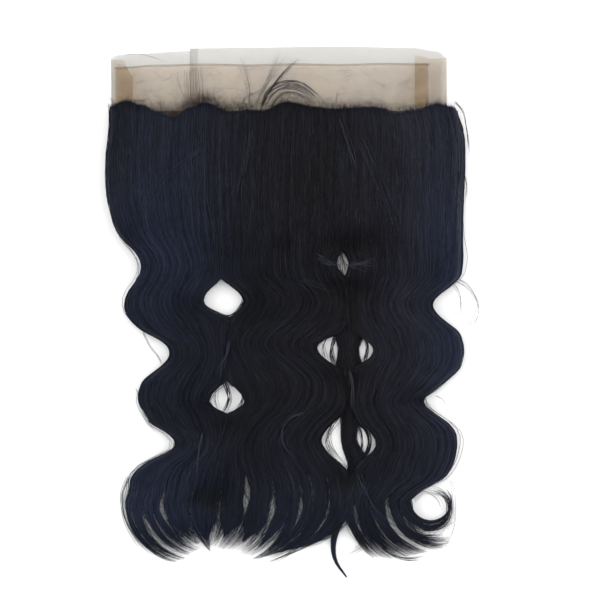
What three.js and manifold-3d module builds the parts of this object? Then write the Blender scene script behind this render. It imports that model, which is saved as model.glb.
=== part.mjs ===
// A 360 lace closure lying flat: a loop of sheer lace with long wavy hair on its front and back walls.
// Millimetres. X runs across the loop, Y from the hair's tips up to the lace edge, Z up from the table.
import * as THREE from 'three';
import { mergeVertices } from 'three/addons/utils/BufferGeometryUtils.js';
import Module from 'manifold-3d';

const wasm = await Module();
wasm.setup();

// Lace loop, flattened as it lies
const loopWidth = 287; // end to end, half of the loop's girth
const loopGap = 10; // clear height inside the loop
const laceWall = 1; // thickness of every lace strip
const laceTail = 68; // lace below the hairline, under the hair
const frontRise = 35; // bare lace above the hairline, front wall
const backRise = 50; // the same for the back wall, which lies further out
const frontLaceLeft = 139; // from the loop's middle to the front strip's left end
const frontLaceRight = 127; // and to its right end
const leftFlap = 19; // how far the left strip comes round onto the front
const rightFlap = 28; // and the right strip
const backSeam = -72; // where the two back strips overlap
const seamLap = 8; // width of that overlap
const laceRipple = 0.7; // height of the waves along the bare front edge
const rippleLength = 62; // from one of those waves to the next

// Hair
const hairSpread = 11.5; // how far the hair lies outside the loop's half width
const strandDrop = 337; // hairline to the last wave
const tipLength = 72; // the longest curl below the last wave
const tailDrop = 403; // hairline to the end of the thin tail lock
const hairlineSwell = 6; // most that the hairline rises or dips
const rootSlope = 0.045; // growth of the back hair's height under the lace
const backHeight = 5.5; // back hair below the lace
const frontHeight = 8; // front hair over its seat
const hairlineHeight = 3; // front hair at its upper edge
const tipHeight = 1.2; // front hair at the ends of its locks
const dropLength = 110; // where the front hair comes down behind the lace
const swellLength = 16; // where the front hair reaches its full height
const locksInSection = 4;
const lockWander = 0.03; // how far the grooves between locks stray, as a share of the section
const tipWidth = 0.12; // share of a lock's width left at its end
const backTipHeight = 0.6; // the back locks at their ends, under the front ones
const rootStart = 5; // the back hair's first knots, below the hairline

// Fits
const clearance = 0.3; // between pieces that rest on each other
const partingGap = 0.8; // between the three front sections
const sectionLap = 1.2; // how far the back sections run into each other
const waveSteps = 36; // rings along the waves
const curlSteps = 6; // and along a curl
const backCurlSteps = 5; // the back curls stop a ring sooner

const loopHalf = loopWidth / 2;
const hairHalf = loopHalf + hairSpread;
const laceLift = laceWall + clearance;
const loopHeight = 2 * laceWall + loopGap; // between the outer faces of the back strips
const loopStack = loopHeight + laceLift + clearance; // back wall's underside to the front hair

// Where the hair's six edges run. down is a share of strandDrop, the edges are shares of hairHalf.
const edgeNames = ['leftOut', 'leftIn', 'midLeft', 'midRight', 'rightIn', 'rightOut'];
const edgeRows = [
  { down: 0.0, leftOut: -0.936, leftIn: -0.314, midLeft: -0.314, midRight: 0.363, rightIn: 0.363, rightOut: 0.975 },
  { down: 0.051, leftOut: -0.927, leftIn: -0.319, midLeft: -0.319, midRight: 0.363, rightIn: 0.363, rightOut: 1.015 },
  { down: 0.139, leftOut: -0.952, leftIn: -0.325, midLeft: -0.325, midRight: 0.358, rightIn: 0.358, rightOut: 1.029 },
  { down: 0.266, leftOut: -0.93, leftIn: -0.319, midLeft: -0.319, midRight: 0.352, rightIn: 0.352, rightOut: 1.015 },
  { down: 0.342, leftOut: -0.86, leftIn: -0.314, midLeft: -0.314, midRight: 0.352, rightIn: 0.352, rightOut: 1.015 },
  { down: 0.397, leftOut: -0.759, leftIn: -0.303, midLeft: -0.303, midRight: 0.347, rightIn: 0.377, rightOut: 1.015 },
  { down: 0.451, leftOut: -0.798, leftIn: -0.336, midLeft: -0.27, midRight: 0.374, rightIn: 0.374, rightOut: 0.98 },
  { down: 0.504, leftOut: -0.848, leftIn: -0.415, midLeft: -0.2, midRight: 0.385, rightIn: 0.385, rightOut: 0.842 },
  { down: 0.559, leftOut: -0.804, leftIn: -0.286, midLeft: -0.286, midRight: 0.341, rightIn: 0.429, rightOut: 0.963 },
  { down: 0.62, leftOut: -0.6, leftIn: -0.286, midLeft: -0.286, midRight: 0.209, rightIn: 0.523, rightOut: 1.021 },
  { down: 0.681, leftOut: -0.71, leftIn: -0.297, midLeft: -0.297, midRight: 0.352, rightIn: 0.435, rightOut: 0.988 },
  { down: 0.742, leftOut: -0.77, leftIn: -0.392, midLeft: -0.19, midRight: 0.385, rightIn: 0.391, rightOut: 0.784 },
  { down: 0.8, leftOut: -0.71, leftIn: -0.292, midLeft: -0.292, midRight: 0.319, rightIn: 0.435, rightOut: 0.919 },
  { down: 0.856, leftOut: -0.57, leftIn: -0.314, midLeft: -0.314, midRight: 0.231, rightIn: 0.534, rightOut: 0.98 },
  { down: 0.929, leftOut: -0.797, leftIn: -0.363, midLeft: -0.363, midRight: 0.363, rightIn: 0.413, rightOut: 0.941 },
  { down: 1.0, leftOut: -0.848, leftIn: -0.407, midLeft: -0.407, midRight: 0.402, rightIn: 0.407, rightOut: 0.726 },
];

// The curls below the last wave. across runs over a section, length is a share of tipLength, turn is in
// degrees towards +X.
const sections = {
  hair_left: {
    edges: ['leftOut', 'leftIn'],
    curls: [
      { across: 0, length: 1.0, turn: 76 },
      { across: 0.55, length: 0.84, turn: 76 },
      { across: 1, length: 0.5, turn: 10 },
    ],
  },
  hair_middle: {
    edges: ['midLeft', 'midRight'],
    curls: [
      { across: 0, length: 0.58, turn: -10 },
      { across: 0.3, length: 0.86, turn: -58 },
      { across: 1, length: 0.84, turn: -56 },
    ],
  },
  hair_right: {
    edges: ['rightIn', 'rightOut'],
    curls: [
      { across: 0, length: 0.9, turn: 62 },
      { across: 0.66, length: 0.84, turn: 76 },
      { across: 1, length: 0.76, turn: 205 },
    ],
  },
};

// The narrow lock that hangs behind the right parting and ends in the thin tail. down is a share of
// tailDrop, across and width are shares of hairHalf.
const tailRows = [
  { down: 0.377, across: 0.38, width: 0.08 },
  { down: 0.468, across: 0.39, width: 0.18 },
  { down: 0.519, across: 0.387, width: 0.148 },
  { down: 0.57, across: 0.39, width: 0.18 },
  { down: 0.62, across: 0.395, width: 0.13 },
  { down: 0.669, across: 0.415, width: 0.15 },
  { down: 0.716, across: 0.436, width: 0.168 },
  { down: 0.763, across: 0.452, width: 0.13 },
  { down: 0.81, across: 0.41, width: 0.11 },
  { down: 0.87, across: 0.345, width: 0.07 },
  { down: 0.922, across: 0.296, width: 0.045 },
  { down: 0.964, across: 0.297, width: 0.028 },
  { down: 1.0, across: 0.351, width: 0.012 },
];

// Rise of the front hair's upper edge. across is a share of hairHalf, rise a share of hairlineSwell.
const hairline = [
  { across: -0.94, rise: 0.6 },
  { across: -0.86, rise: 0.85 },
  { across: -0.67, rise: -0.1 },
  { across: -0.54, rise: -1.3 },
  { across: -0.4, rise: 1.0 },
  { across: -0.19, rise: -0.4 },
  { across: 0.03, rise: 0.6 },
  { across: 0.17, rise: 0.5 },
  { across: 0.34, rise: 0.0 },
  { across: 0.48, rise: 0.45 },
  { across: 0.7, rise: -0.5 },
  { across: 0.86, rise: 0.85 },
  { across: 0.97, rise: 0.5 },
];

// Upper edges of the lace strips. along is a share of the strip, rise of frontRise or backRise.
const frontLaceEdge = [
  { along: 0, rise: 0.9 },
  { along: 0.14, rise: 0.96 },
  { along: 0.28, rise: 0.985 },
  { along: 0.42, rise: 0.965 },
  { along: 0.56, rise: 0.99 },
  { along: 0.72, rise: 0.975 },
  { along: 0.86, rise: 1 },
  { along: 1, rise: 0.99 },
];
const rightLaceEdge = [
  { along: 0, rise: 0.83 },
  { along: 0.06, rise: 0.77 },
  { along: 0.13, rise: 0.8 },
  { along: 0.17, rise: 0.92 },
  { along: 0.25, rise: 0.975 },
  { along: 0.5, rise: 1 },
  { along: 0.8, rise: 0.98 },
  { along: 1, rise: 0.965 },
];
const leftLaceEdge = [
  { along: 0, rise: 0.6 },
  { along: 0.06, rise: 0.75 },
  { along: 0.2, rise: 0.76 },
  { along: 0.33, rise: 0.85 },
  { along: 0.45, rise: 0.87 },
  { along: 1, rise: 0.92 },
];

const { clamp, degToRad, lerp, smoothstep } = THREE.MathUtils;

// The value of one column of a table at a place between its rows, in straight steps.
function between(rows, place, value, at) {
  let k = 1;
  while (k < rows.length - 1 && rows[k][place] < at) k += 1;
  const [low, high] = [rows[k - 1], rows[k]];
  const share = clamp((at - low[place]) / (high[place] - low[place]), 0, 1);
  return lerp(low[value], high[value], share);
}

// The same, eased so that each row is the top or the foot of a gentle wave.
function eased(rows, place, value, at) {
  let k = 1;
  while (k < rows.length - 1 && rows[k][place] < at) k += 1;
  const [low, high] = [rows[k - 1], rows[k]];
  return lerp(low[value], high[value], smoothstep(at, low[place], high[place]));
}

// Each edge of the hair as one smooth curve through its rows. All run through the rows in step.
const edgeCurves = {};
for (const name of edgeNames) {
  const points = edgeRows.map((row) => new THREE.Vector3(row[name] * hairHalf, -row.down * strandDrop, 0));
  edgeCurves[name] = new THREE.CatmullRomCurve3(points, false, 'catmullrom', 0.5);
}

// Heights under and over the hair, by the distance below the hairline

function backTop(down, curl = 0) {
  const belowLace = smoothstep(down, laceTail, laceTail + dropLength);
  const body = lerp(rootSlope * clamp(down, 0, laceTail), backHeight, belowLace);
  return lerp(body, backTipHeight, curl);
}

function backWallFoot(down) {
  return down > 0 ? clearance + rootSlope * down : clearance * clamp(1 + (4 * down) / backRise, 0, 1);
}

// The front hair rests on the loop, and past the loop on the back hair.
function frontSeat(x, down) {
  const pastEnd = smoothstep(Math.abs(x), loopHalf + 0.25 * hairSpread, loopHalf + 1.3 * hairSpread);
  const pastTail = smoothstep(down, laceTail + 0.15 * dropLength, laceTail + dropLength);
  const onLoop = (1 - pastEnd) * (1 - pastTail);
  return lerp(backTop(down) + clearance, backWallFoot(clamp(down, -backRise, laceTail)) + loopStack, onLoop);
}

function hairlineRise(x) {
  return hairlineSwell * eased(hairline, 'across', 'rise', x / hairHalf);
}

// A point of the flow of a section's hair. across is 0 at its left edge and 1 at its right, wave is 0 at the
// hairline and 1 at the last wave, and curl is 0 to 1 along the curl that follows.
function flow(section, across, wave, curl = 0) {
  const [left, right] = section.edges.map((name) => edgeCurves[name].getPoint(wave));
  const point = left.lerp(right, across);
  if (curl === 0) return point;
  const turn = degToRad(between(section.curls, 'across', 'turn', across));
  const radius = (tipLength * between(section.curls, 'across', 'length', across)) / turn;
  point.x += radius * (1 - Math.cos(curl * turn));
  point.y -= radius * Math.sin(curl * turn);
  return point;
}

// A closed skin over rings of points, each end closed by zipping its ring together.
function skinOver(rings) {
  const size = rings[0].length;
  const last = (rings.length - 1) * size;
  const faces = [];
  for (let k = 0; k < last; k += size) {
    for (let i = 0; i < size; i += 1) {
      const j = (i + 1) % size;
      faces.push(k + i, k + j, k + size + j, k + i, k + size + j, k + size + i);
    }
  }
  for (let low = 0, high = size - 1; low < high; low += 1, high -= 1) {
    if (low + 1 < high) {
      faces.push(low, high, low + 1);
      faces.push(last + low, last + low + 1, last + high);
    }
    if (low + 1 < high - 1) {
      faces.push(low + 1, high, high - 1);
      faces.push(last + low + 1, last + high - 1, last + high);
    }
  }
  const geometry = new THREE.BufferGeometry();
  const numbers = rings.flat().flatMap((point) => [point.x, point.y, point.z]);
  geometry.setAttribute('position', new THREE.Float32BufferAttribute(numbers, 3));
  geometry.setIndex(faces);
  return geometry;
}

function solidOf(geometry) {
  const merged = mergeVertices(geometry, 1e-4);
  const vertProperties = new Float32Array(merged.attributes.position.array);
  const triVerts = new Uint32Array(merged.index.array);
  return new wasm.Manifold(new wasm.Mesh({ numProp: 3, vertProperties, triVerts }));
}

function geometryOf(solid) {
  const { vertProperties, triVerts } = solid.getMesh();
  const geometry = new THREE.BufferGeometry();
  geometry.setAttribute('position', new THREE.BufferAttribute(vertProperties, 3));
  geometry.setIndex(new THREE.BufferAttribute(triVerts, 1));
  return geometry;
}

// The section of a lock: how far across it and how high its corners are, from the left foot on.
const frontProfile = [
  { across: 0, high: 0 },
  { across: 1, high: 0 },
  { across: 1, high: 0.5 },
  { across: 0.72, high: 1 },
  { across: 0.28, high: 1 },
  { across: 0, high: 0.5 },
];
const backProfile = [
  { across: 0, high: 0 },
  { across: 1, high: 0 },
  { across: 1, high: 1 },
  { across: 0, high: 1 },
];

// Where the hair has its rings, along the waves and then along the curls.
function ringPlaces(rings) {
  const places = [];
  for (let k = 0; k <= waveSteps; k += 1) places.push({ wave: (k / waveSteps) ** 0.85, curl: 0 });
  for (let k = 1; k <= rings; k += 1) places.push({ wave: 1, curl: k / curlSteps });
  return places;
}

// The groove beside a lock strays a little from its even place, except at the section's edges.
function groove(k, wave) {
  const inside = k > 0 && k < locksInSection ? 1 : 0;
  return k / locksInSection + inside * lockWander * Math.sin(2 * Math.PI * (1.6 * wave + 0.37 * k));
}

// Locks side by side, one body along the waves and parting at the curls. out holds how far the section's left
// and right edges and, in the curls, the locks' inner sides are moved outwards. shape sets a corner's height.
function locks(section, profile, curlRings, out, shape) {
  const places = ringPlaces(curlRings);
  const points = [];
  const faces = [];
  for (let k = 0; k < locksInSection; k += 1) {
    const size = profile.length;
    const start = points.length;
    places.forEach(({ wave, curl }, step) => {
      const [from, to] = [groove(k, wave), groove(k + 1, wave)];
      const width = lerp(1, tipWidth, curl ** 2.4);
      const left = flow(section, lerp((from + to) / 2, from, width), wave, curl);
      const right = flow(section, lerp((from + to) / 2, to, width), wave, curl);
      const side = right.clone().sub(left).normalize();
      const inner = curl > 0 ? out.inner : 0;
      left.addScaledVector(side, -(k === 0 ? out.left : inner));
      right.addScaledVector(side, k === locksInSection - 1 ? out.right : inner);
      for (const corner of profile) points.push(shape(left.clone().lerp(right, corner.across), corner, wave, curl, k));
      if (step === 0) return;
      const low = start + (step - 1) * size;
      for (let i = 0; i < size; i += 1) {
        const j = (i + 1) % size;
        const shared = (i === 1 && k < locksInSection - 1) || (j === 0 && k > 0);
        if (shared && curl === 0) continue;
        faces.push(low + i, low + j, low + size + j, low + i, low + size + j, low + size + i);
      }
    });
    const last = points.length - size;
    for (let i = 1; i < size - 1; i += 1) {
      faces.push(start, start + i + 1, start + i);
      faces.push(last, last + i, last + i + 1);
    }
  }
  const geometry = new THREE.BufferGeometry();
  const numbers = points.flatMap((point) => [point.x, point.y, point.z]);
  geometry.setAttribute('position', new THREE.Float32BufferAttribute(numbers, 3));
  geometry.setIndex(faces);
  return solidOf(geometry);
}

// A front section, with its foot just over the back hair and a little higher over the curls. growth makes it
// larger all round, as room for the next section.
function frontSection(section, growth = 0) {
  const inset = partingGap / 2 - growth;
  const out = { left: -inset, right: -inset, inner: growth };
  return locks(section, frontProfile, curlSteps, out, (point, corner, wave, curl, k) => {
    point.y += hairlineRise(point.x) * (1 - smoothstep(wave, 0, 0.12));
    const down = -point.y;
    const swell = smoothstep(down + hairlineSwell, 0, swellLength);
    const tallness = corner.high === 1 && k % 2 ? 0.88 : 1;
    const body = lerp(hairlineHeight, frontHeight, swell) * tallness;
    const high = lerp(body, tipHeight, curl ** 1.2) + growth;
    const foot = backTop(down, curl) + clearance * (1 + 2 * curl) - growth;
    const seat = lerp(frontSeat(point.x, down), foot, curl);
    return point.setZ(corner.high === 0 ? foot : seat + high * corner.high);
  });
}

// The room that the loop of lace takes up inside the front hair.
function loopRoom() {
  const steps = 12;
  const round = loopHeight / 2 + clearance;
  const tall = (loopStack + clearance) / 2;
  const reach = loopHalf - loopHeight / 2;
  const downs = [-backRise, -backRise / 4, 0, laceTail, laceTail + clearance];
  const rings = downs.map((down) => {
    const foot = backWallFoot(Math.min(down, laceTail)) - clearance;
    const corners = [];
    for (let k = 0; k <= steps; k += 1) {
      const angle = (Math.PI * k) / steps - Math.PI / 2;
      const point = new THREE.Vector3(reach + round * Math.cos(angle), -down, foot + tall);
      corners.push(point.setZ(point.z + tall * Math.sin(angle)));
    }
    const mirrored = corners.map((point) => point.clone().setX(-point.x)).reverse();
    return [...corners, ...mirrored];
  });
  return solidOf(skinOver(rings));
}

// A section of the back hair, flat on the table. Its curls are shorter than the front ones above them.
function backSection(section, laps) {
  const out = { ...laps, inner: 0 };
  return locks(section, backProfile, backCurlSteps, out, (point, corner, wave, curl) => {
    point.y -= rootStart * (1 - smoothstep(wave, 0, 0.12));
    return point.setZ(backTop(-point.y, curl) * corner.high);
  });
}

// The tail lock. growth makes it larger all round, as room in the hair above it.
function tailLock(growth = 0) {
  const steps = 26;
  const rings = [];
  const line = tailRows.map(({ down, across }) => new THREE.Vector3(across * hairHalf, -down * tailDrop, 0));
  const curve = new THREE.CatmullRomCurve3(line, false, 'catmullrom', 0.5);
  for (let k = 0; k <= steps; k += 1) {
    const point = curve.getPoint(k / steps);
    const heading = curve.getTangent(k / steps);
    const down = -point.y;
    const half = (hairHalf * eased(tailRows, 'down', 'width', down / tailDrop)) / 2 + growth;
    const side = new THREE.Vector3(-heading.y, heading.x, 0).multiplyScalar(half);
    const high = lerp(backHeight, tipHeight, smoothstep(down, strandDrop, tailDrop)) * 0.94 + growth;
    const left = point.clone().sub(side);
    const right = point.clone().add(side);
    rings.push(backProfile.map((corner) => left.clone().lerp(right, corner.across).setZ(high * corner.high)));
  }
  return skinOver(rings);
}

function backHair() {
  let solid = solidOf(tailLock());
  Object.values(sections).forEach((section, place) => {
    const laps = { left: place > 0 ? sectionLap : 0, right: place < 2 ? sectionLap : 0 };
    solid = solid.add(backSection(section, laps));
  });
  return geometryOf(solid);
}

// A front section with room cut for the loop, the tail lock and the sections beside it.
function frontHair(section, ...neighbours) {
  let solid = frontSection(section).subtract(loopRoom());
  solid = solid.subtract(solidOf(tailLock(clearance)));
  for (const neighbour of neighbours) solid = solid.subtract(frontSection(neighbour, clearance));
  return geometryOf(solid);
}

// Lace

// Rows of a strip from its upper edge to its hidden one, three above the hairline and two below.
const laceRows = 5;
function laceDown(row, rise) {
  return row < 3 ? lerp(-rise, 0, row / 3) : lerp(0, laceTail, (row - 3) / 2);
}

// A strip as a wall along a run of stations, each with its own upper edge.
function laceStrip(stations) {
  const rings = stations.map(({ x, level, lift, nx, nz, rise }) => {
    const outer = [];
    const inner = [];
    for (let row = 0; row <= laceRows; row += 1) {
      const down = laceDown(row, rise);
      const bare = smoothstep(-down, 0, frontRise);
      const wave = laceRipple * Math.sin((2 * Math.PI * x) / rippleLength) * bare * level;
      const z = backWallFoot(down) + laceWall / 2 + level * (laceWall + loopGap) + lift + wave;
      outer.push(new THREE.Vector3(x + (nx * laceWall) / 2, -down, z + (nz * laceWall) / 2));
      inner.push(new THREE.Vector3(x - (nx * laceWall) / 2, -down, z - (nz * laceWall) / 2));
    }
    return [...outer, ...inner.reverse()];
  });
  return skinOver(rings);
}

function frontLace() {
  const steps = 24;
  const stations = [];
  for (let k = 0; k <= steps; k += 1) {
    const x = lerp(-frontLaceLeft, frontLaceRight, k / steps);
    const rise = frontRise * eased(frontLaceEdge, 'along', 'rise', k / steps);
    stations.push({ x, level: 1, lift: laceLift, nx: 0, nz: 1, rise });
  }
  return laceStrip(stations);
}

// A strip that starts on the front, turns round one end of the loop and runs along the back.
function wrapLace(side, flap, backEnd, edge, seamLift) {
  const radius = (laceWall + loopGap) / 2;
  const centre = loopHalf - laceWall / 2 - radius;
  const turn = { steps: 6, length: Math.PI * radius };
  const front = { steps: 3, length: flap - radius };
  const back = { steps: 12, length: centre - backEnd };
  const total = front.length + turn.length + back.length;
  const stations = [];
  const add = (run, reach, level, nx, nz) => {
    const rise = backRise * eased(edge, 'along', 'rise', run / total);
    const lap = smoothstep(backEnd + 3 * seamLap - reach, 0, 2 * seamLap);
    stations.push({ x: side * reach, level, lift: level < 0.5 ? lap * seamLift : 0, nx: side * nx, nz, rise });
  };
  for (let k = 0; k < front.steps; k += 1) {
    const share = k / front.steps;
    add(share * front.length, lerp(loopHalf - flap, centre, share), 1, 0, 1);
  }
  for (let k = 0; k <= turn.steps; k += 1) {
    const angle = Math.PI / 2 - (Math.PI * k) / turn.steps;
    const run = front.length + (turn.length * k) / turn.steps;
    const reach = centre + radius * Math.cos(angle);
    add(run, reach, (1 + Math.sin(angle)) / 2, Math.cos(angle), Math.sin(angle));
  }
  for (let k = 1; k <= back.steps; k += 1) {
    const share = k / back.steps;
    add(front.length + turn.length + share * back.length, lerp(centre, backEnd, share), 0, 0, -1);
  }
  return laceStrip(side > 0 ? stations : stations.reverse());
}

const laceTan = new THREE.MeshStandardMaterial({ color: 0xc2b09a, roughness: 0.85, metalness: 0 });
const lacePale = new THREE.MeshStandardMaterial({ color: 0xd9d4ca, roughness: 0.85, metalness: 0 });
const hairBlack = new THREE.MeshStandardMaterial({ color: 0x1d1c20, roughness: 0.45, metalness: 0 });

const closure = new THREE.Group();
function add(name, geometry, material) {
  const mesh = new THREE.Mesh(geometry, material);
  mesh.name = name;
  closure.add(mesh);
}

add('lace_front', frontLace(), laceTan);
add('lace_back_right', wrapLace(1, rightFlap, backSeam - seamLap / 2, rightLaceEdge, 0), lacePale);
add('lace_back_left', wrapLace(-1, leftFlap, -backSeam - seamLap / 2, leftLaceEdge, laceLift), lacePale);
add('hair_left', frontHair(sections.hair_left), hairBlack);
add('hair_middle', frontHair(sections.hair_middle, sections.hair_left), hairBlack);
add('hair_right', frontHair(sections.hair_right, sections.hair_middle), hairBlack);
add('hair_back', backHair(), hairBlack);

// The origin is on the table, under the middle of the piece.
const box = new THREE.Box3().setFromObject(closure);
closure.position.set(-(box.min.x + box.max.x) / 2, -(box.min.y + box.max.y) / 2, -box.min.z);

export default closure;
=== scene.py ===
import math
import bpy
import numpy as np
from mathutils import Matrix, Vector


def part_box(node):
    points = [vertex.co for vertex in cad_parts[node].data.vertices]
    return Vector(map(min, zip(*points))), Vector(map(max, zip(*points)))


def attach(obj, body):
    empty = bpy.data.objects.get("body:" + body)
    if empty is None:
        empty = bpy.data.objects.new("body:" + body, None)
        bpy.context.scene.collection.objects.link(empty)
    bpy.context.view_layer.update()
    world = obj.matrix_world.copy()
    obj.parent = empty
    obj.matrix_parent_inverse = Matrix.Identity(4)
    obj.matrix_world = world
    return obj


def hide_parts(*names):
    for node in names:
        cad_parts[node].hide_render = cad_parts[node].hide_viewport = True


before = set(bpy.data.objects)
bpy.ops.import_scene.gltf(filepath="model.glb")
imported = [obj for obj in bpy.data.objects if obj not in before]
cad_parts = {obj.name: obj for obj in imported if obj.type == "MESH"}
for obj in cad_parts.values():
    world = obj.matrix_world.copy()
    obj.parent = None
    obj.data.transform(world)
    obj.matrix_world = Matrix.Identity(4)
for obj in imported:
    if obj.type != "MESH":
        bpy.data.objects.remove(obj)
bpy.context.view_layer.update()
mm = 0.001
print("frame loaded")

# every length is in mm, from the middle of the lace loop and from the hairline, x right and y up the photo
photo = {"middleX": 279, "hairlineY": 104.2, "mmPerPixel": 0.85, "centre": (300, 300)}
loop = {"width": 287, "gap": 10, "wall": 1, "tail": 68, "frontRise": 35, "backRise": 50, "fit": 0.3,
        "frontLeft": -139, "frontRight": 127, "leftFlap": 19, "rightFlap": 28, "seam": -72, "seamLap": 8,
        "ripple": 0.7, "rippleLength": 62}
hair = {"half": 155, "drop": 337, "tip": 72, "tailDrop": 403, "rise": 6, "slope": 0.045, "back": 5.5,
        "front": 8, "edge": 3, "end": 1.2, "dropLength": 110, "swell": 16}
ringLeft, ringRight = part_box("lace_back_left"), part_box("lace_back_right")
loopMid = (ringLeft[0][0] + ringRight[1][0]) / 2 / mm
hairlineY = ringRight[0][1] / mm + loop["tail"]
loopHalf = loop["width"] / 2
loopHeight = 2 * loop["wall"] + loop["gap"]
loopStack = loopHeight + loop["wall"] + 2 * loop["fit"]

# the six edges of the hair's three columns: distance down as a share of the drop, edges as shares of the half width
edgeRows = np.array([
    (0.000, -0.936, -0.314, -0.314, 0.363, 0.363, 0.980),
    (0.051, -0.932, -0.319, -0.319, 0.363, 0.363, 1.015),
    (0.139, -0.952, -0.325, -0.325, 0.358, 0.358, 1.026),
    (0.266, -0.930, -0.319, -0.319, 0.352, 0.352, 1.015),
    (0.342, -0.860, -0.314, -0.314, 0.350, 0.350, 1.012),
    (0.363, -0.810, -0.313, -0.313, 0.349, 0.349, 1.012),
    (0.400, -0.759, -0.312, -0.312, 0.314, 0.384, 1.010),
    (0.440, -0.775, -0.316, -0.316, 0.362, 0.362, 0.990),
    (0.470, -0.820, -0.390, -0.232, 0.372, 0.372, 0.913),
    (0.497, -0.842, -0.418, -0.192, 0.376, 0.376, 0.845),
    (0.520, -0.845, -0.375, -0.222, 0.378, 0.378, 0.853),
    (0.538, -0.828, -0.272, -0.272, 0.378, 0.378, 0.890),
    (0.575, -0.743, -0.278, -0.278, 0.345, 0.400, 0.987),
    (0.600, -0.633, -0.284, -0.284, 0.219, 0.494, 1.006),
    (0.620, -0.603, -0.286, -0.286, 0.206, 0.524, 1.012),
    (0.645, -0.611, -0.288, -0.288, 0.258, 0.488, 1.006),
    (0.668, -0.669, -0.288, -0.288, 0.335, 0.400, 0.990),
    (0.697, -0.745, -0.288, -0.288, 0.352, 0.400, 0.921),
    (0.722, -0.764, -0.351, -0.225, 0.372, 0.395, 0.858),
    (0.748, -0.768, -0.384, -0.189, 0.385, 0.391, 0.779),
    (0.765, -0.754, -0.378, -0.197, 0.375, 0.397, 0.812),
    (0.781, -0.729, -0.285, -0.285, 0.355, 0.410, 0.855),
    (0.806, -0.705, -0.287, -0.287, 0.293, 0.440, 0.929),
    (0.830, -0.614, -0.300, -0.300, 0.250, 0.510, 0.965),
    (0.850, -0.570, -0.314, -0.314, 0.228, 0.532, 0.971),
    (0.875, -0.590, -0.330, -0.330, 0.258, 0.525, 0.968),
    (0.900, -0.713, -0.345, -0.345, 0.313, 0.450, 0.960),
    (0.920, -0.776, -0.360, -0.360, 0.375, 0.410, 0.943),
    (0.945, -0.817, -0.375, -0.375, 0.390, 0.400, 0.905),
    (0.973, -0.823, -0.390, -0.390, 0.395, 0.385, 0.790),
    (1.000, -0.845, -0.405, -0.405, 0.402, 0.365, 0.727),
])
# curls: across, length as a share of the tip, turn in degrees and how early it turns; sway is how far the strands
# inside a column swing, in mm; slits part the tips: across, width in mm, where each starts, is widest and ends, and how
# much of it stays open; reaches are how far each lock between the slits runs
columns = {
    "left": {"edges": (1, 2), "sway": 0,
             "curls": ((0, 1.0, 76, 1), (0.55, 0.84, 80, 1.1), (1, 0.52, 12, 1)),
             "slits": ((0.07, 2.0, 0.97, 1.1, 1.3, 0.7), (0.21, 5.8, 1.0, 1.15, 1.35, 0.9),
                       (0.33, 2.4, 1.04, 1.12, 1.3, 0.5), (0.46, 4.8, 0.955, 1.04, 1.17, 0),
                       (0.8, 1.6, 0.97, 1.05, 1.2, 0)),
             "reaches": (0.97, 0.97, 0.9, 0.88, 0.74, 1)},
    "middle": {"edges": (3, 4), "sway": 11,
               "curls": ((0, 0.58, -10, 1), (0.3, 0.8, -62, 1.1), (0.6, 0.88, -62, 1.2), (0.82, 0.98, -72, 1.6),
                         (1, 1.2, -80, 2.3)),
               "slits": ((0.1, 1.2, 0.97, 1.05, 1.2, 0), (0.285, 5.2, 0.91, 0.985, 1.08, 0),
                         (0.47, 4.6, 0.96, 1.04, 1.17, 0), (0.58, 4.4, 1.1, 1.28, 1.35, 0.8),
                         (0.66, 3.0, 0.95, 1.03, 1.2, 0.2), (0.74, 2.0, 1.1, 1.2, 1.33, 0.7),
                         (0.85, 1.5, 0.99, 1.1, 1.3, 0.5)),
               "reaches": (0.84, 0.8, 0.82, 0.9, 1, 1, 1, 0.95)},
    "right": {"edges": (5, 6), "sway": 0,
              "curls": ((0, 0.8, 52, 1), (0.6, 0.86, 74, 1.2), (0.7, 1.0, 92, 1.3), (0.85, 0.84, 130, 1.1),
                        (1, 0.86, 212, 0.95)),
              "slits": ((0.12, 3.4, 0.965, 1.06, 1.25, 0.1), (0.4, 2.2, 1.0, 1.12, 1.3, 0.3),
                        (0.62, 5.8, 0.94, 1.1, 1.3, 0.5), (0.8, 5.0, 1.03, 1.14, 1.35, 0.9),
                        (0.9, 1.6, 1.1, 1.2, 1.35, 0.8)),
              "reaches": (0.95, 1, 0.98, 0.93, 0.95, 1)},
}
swayWaves, swaySides = (0, 0.43, 0.497, 0.6, 0.7, 0.86, 1), (0, 0, 1, -1, 1, -1.2, 0)
# a hole's edge pushes the strands beside it: how many mm it reaches, how many they follow it closely, and the steps
# down that smooth the push; steps is how many parts a curl is drawn in
bend = {"reach": 34, "near": 20, "soften": (-0.03, -0.015, 0, 0.015, 0.03), "steps": 10}
# how high the hairline stands, in mm, at shares of the half width
hairlineAcross = (-0.97, -0.93, -0.84, -0.75, -0.664, -0.576, -0.488, -0.4, -0.27, -0.18, -0.09, 0.04, 0.21, 0.3, 0.48,
                  0.565, 0.63, 0.74, 0.87, 0.95, 1)
hairlineHigh = (-6, -1, 4, 0, -6, -10.5, -2, 2.2, -6, -4, -4.5, 3, -1.5, -3, -1.3, -2.2, -7, -4, 1.5, -1.5, -8)


# small maths, all on arrays
def lerp(a, b, t):
    return a + (b - a) * t


def smooth(x, lo, hi):
    t = np.clip((np.asarray(x, float) - lo) / (hi - lo), 0, 1)
    return t * t * (3 - 2 * t)


def eased(x, places, values):
    places, values = np.array(places), np.array(values)
    k = np.clip(np.searchsorted(places, x) - 1, 0, len(places) - 2)
    return lerp(values[k], values[k + 1], smooth((x - places[k]) / (places[k + 1] - places[k]), 0, 1))


def hermite(a, b, m1, m2, f):
    return (2 * f**3 - 3 * f**2 + 1) * a + (f**3 - 2 * f**2 + f) * m1 + (3 * f**2 - 2 * f**3) * b + (f**3 - f**2) * m2


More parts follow.
